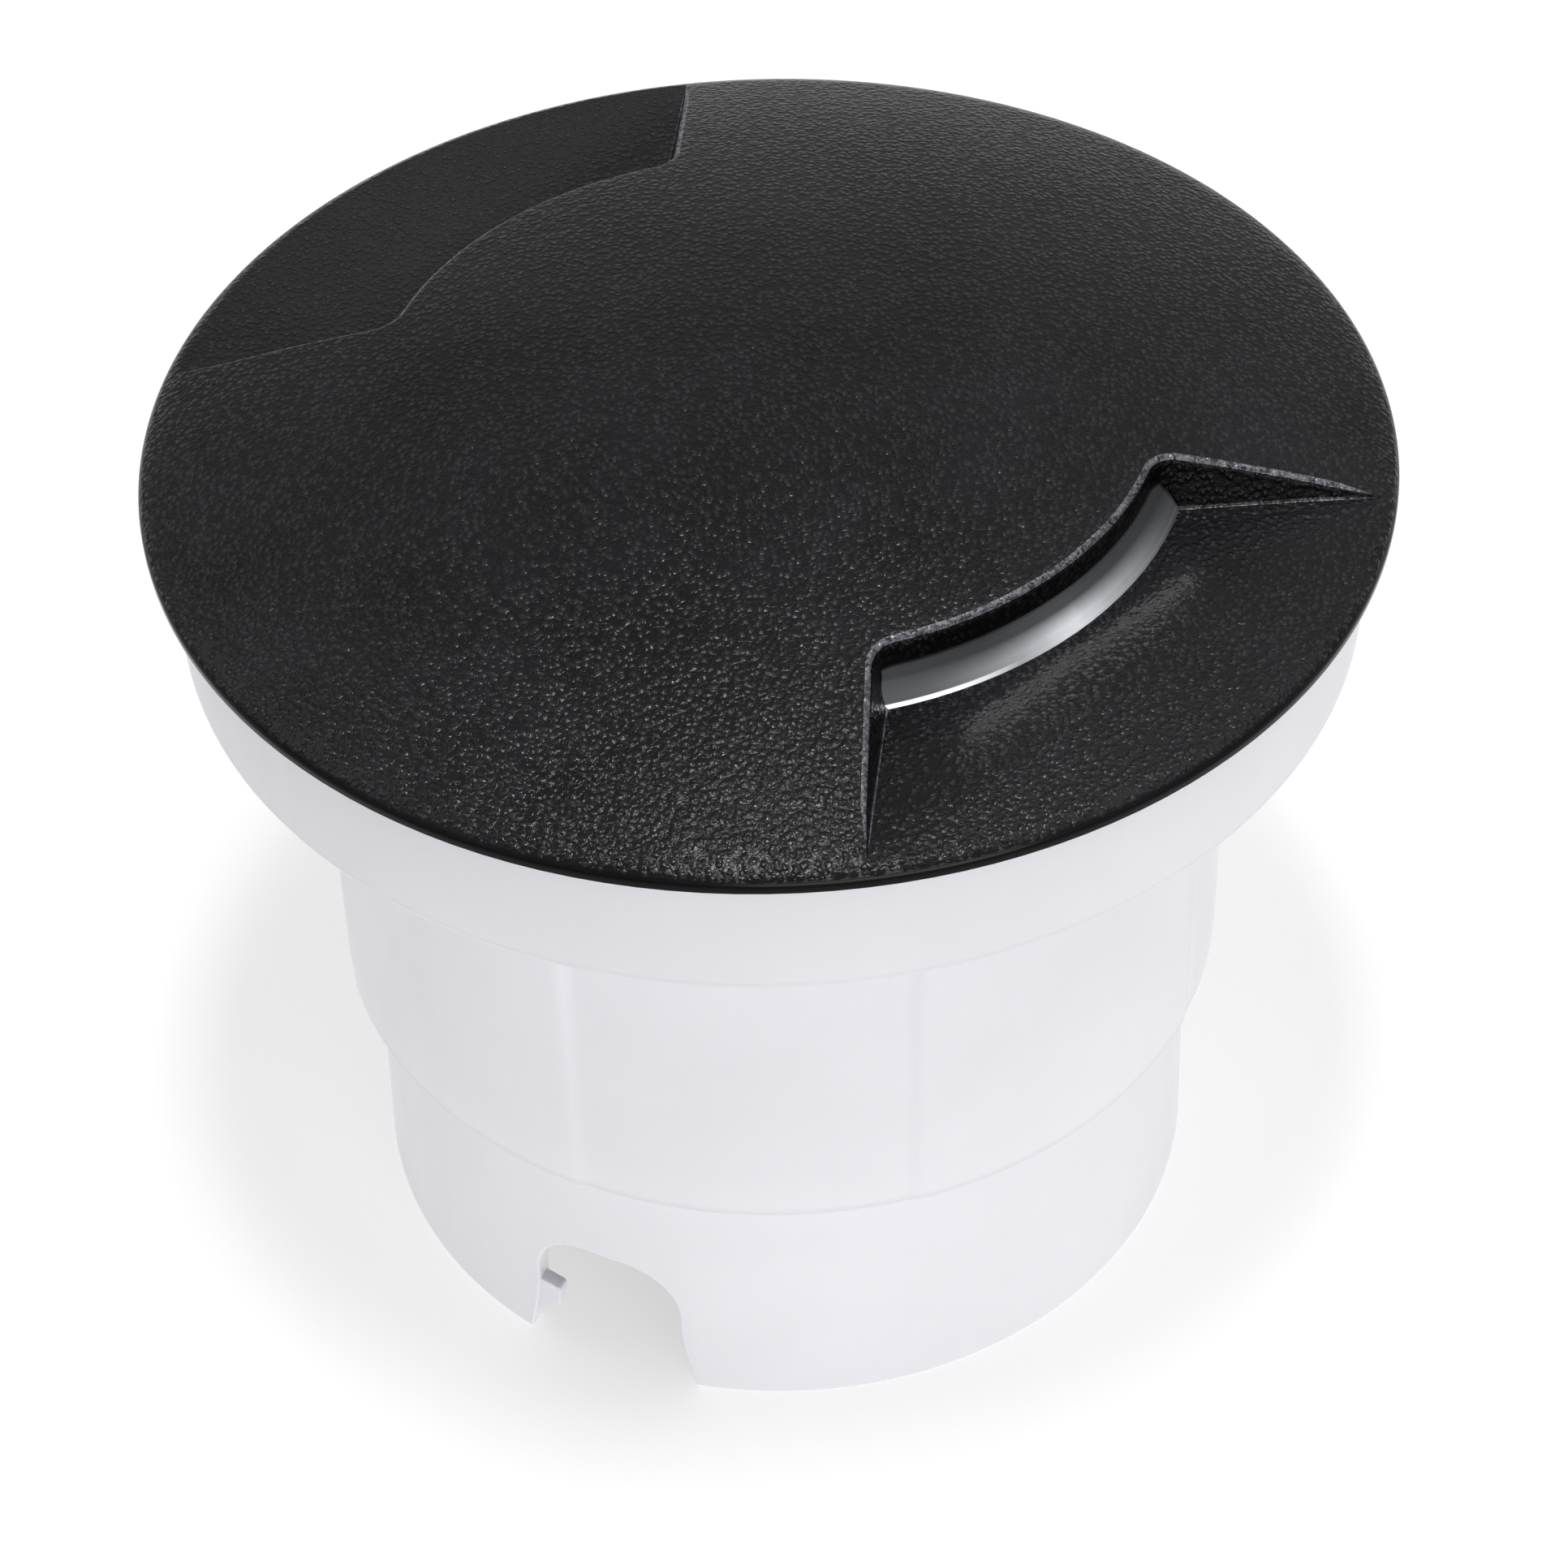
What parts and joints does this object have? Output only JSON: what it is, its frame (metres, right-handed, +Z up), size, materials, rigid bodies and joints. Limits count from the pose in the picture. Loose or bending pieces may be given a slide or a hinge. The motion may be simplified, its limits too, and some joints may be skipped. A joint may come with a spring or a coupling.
{
  "type": "in-ground light",
  "caption": "Round walk-over in-ground light: low domed cover with opposite side windows, twist-lock lamp, and an installation sleeve that is open below.",
  "frame": {"origin": "on the sleeve's axis, at the foot of its skirt", "axes": "+Z up along the sleeve's axis; the two windows look along -Y and +Y; the cable gland lies on the -X side"},
  "size_m": [0.12, 0.12, 0.1012],
  "materials": {
    "cover_black": "fine leather grain, low sheen",
    "sleeve_white": "moulded, satin",
    "housing_grey": "moulded, matt",
    "lens_clear": "clear, polished",
    "ring_black": "moulded, matt",
    "reflector_white": "satin",
    "lamp_white": "satin",
    "diffuser_opal": "opal, satin",
    "board_white": "solder mask",
    "board_green": "solder mask",
    "contact_brass": "bare",
    "holder_white": "moulded, satin",
    "plate_zinc": "galvanised",
    "screw_steel": "bright",
    "terminal_natural": "moulded",
    "wire_brown": "smooth insulation",
    "wire_blue": "smooth insulation",
    "gland_black": "moulded, satin",
    "seal_grey": "moulded, matt"
  },
  "bodies": {
    "base": {"sleeve": "sleeve_white", "housing": "housing_grey", "housing_screws": "screw_steel", "cover_gasket": "seal_grey", "lens": "lens_clear", "lens_gasket": "seal_grey", "retaining_ring": "ring_black", "ring_screws": "screw_steel", "deflector": "reflector_white", "deflector_screw": "screw_steel", "lampholder": "holder_white", "holder_contacts": "contact_brass", "holder_screws": "screw_steel", "mounting_plate": "plate_zinc", "plate_screws": "screw_steel", "terminal_block": "terminal_natural", "terminal_inserts": "contact_brass", "clamp_screws": "screw_steel", "terminal_screw": "screw_steel", "lead_brown": "wire_brown", "lead_blue": "wire_blue", "gland_body": "gland_black", "gland_seal": "seal_grey", "gland_cap_nut": "gland_black", "lock_nuts": "gland_black", "entry_seals": "seal_grey", "blanking_plug": "gland_black"},
    "cover": {"cover": "cover_black"},
    "lamp": {"lamp_housing": "lamp_white", "lamp_diffuser": "diffuser_opal", "led_board": "board_white", "driver_board": "board_green", "lamp_pins": "contact_brass"}
  },
  "joints": [
    {"name": "cover_turn", "type": "hinge", "parent": "base", "child": "cover", "pos_m": [0, 0, 0.0812], "axis": [0, 0, 1], "range_deg": [-40, 0]},
    {"name": "lamp_turn", "type": "hinge", "parent": "base", "child": "lamp", "pos_m": [0, 0, 0.0675], "axis": [0, 0, 1], "range_deg": [-12, 0]}
  ]
}
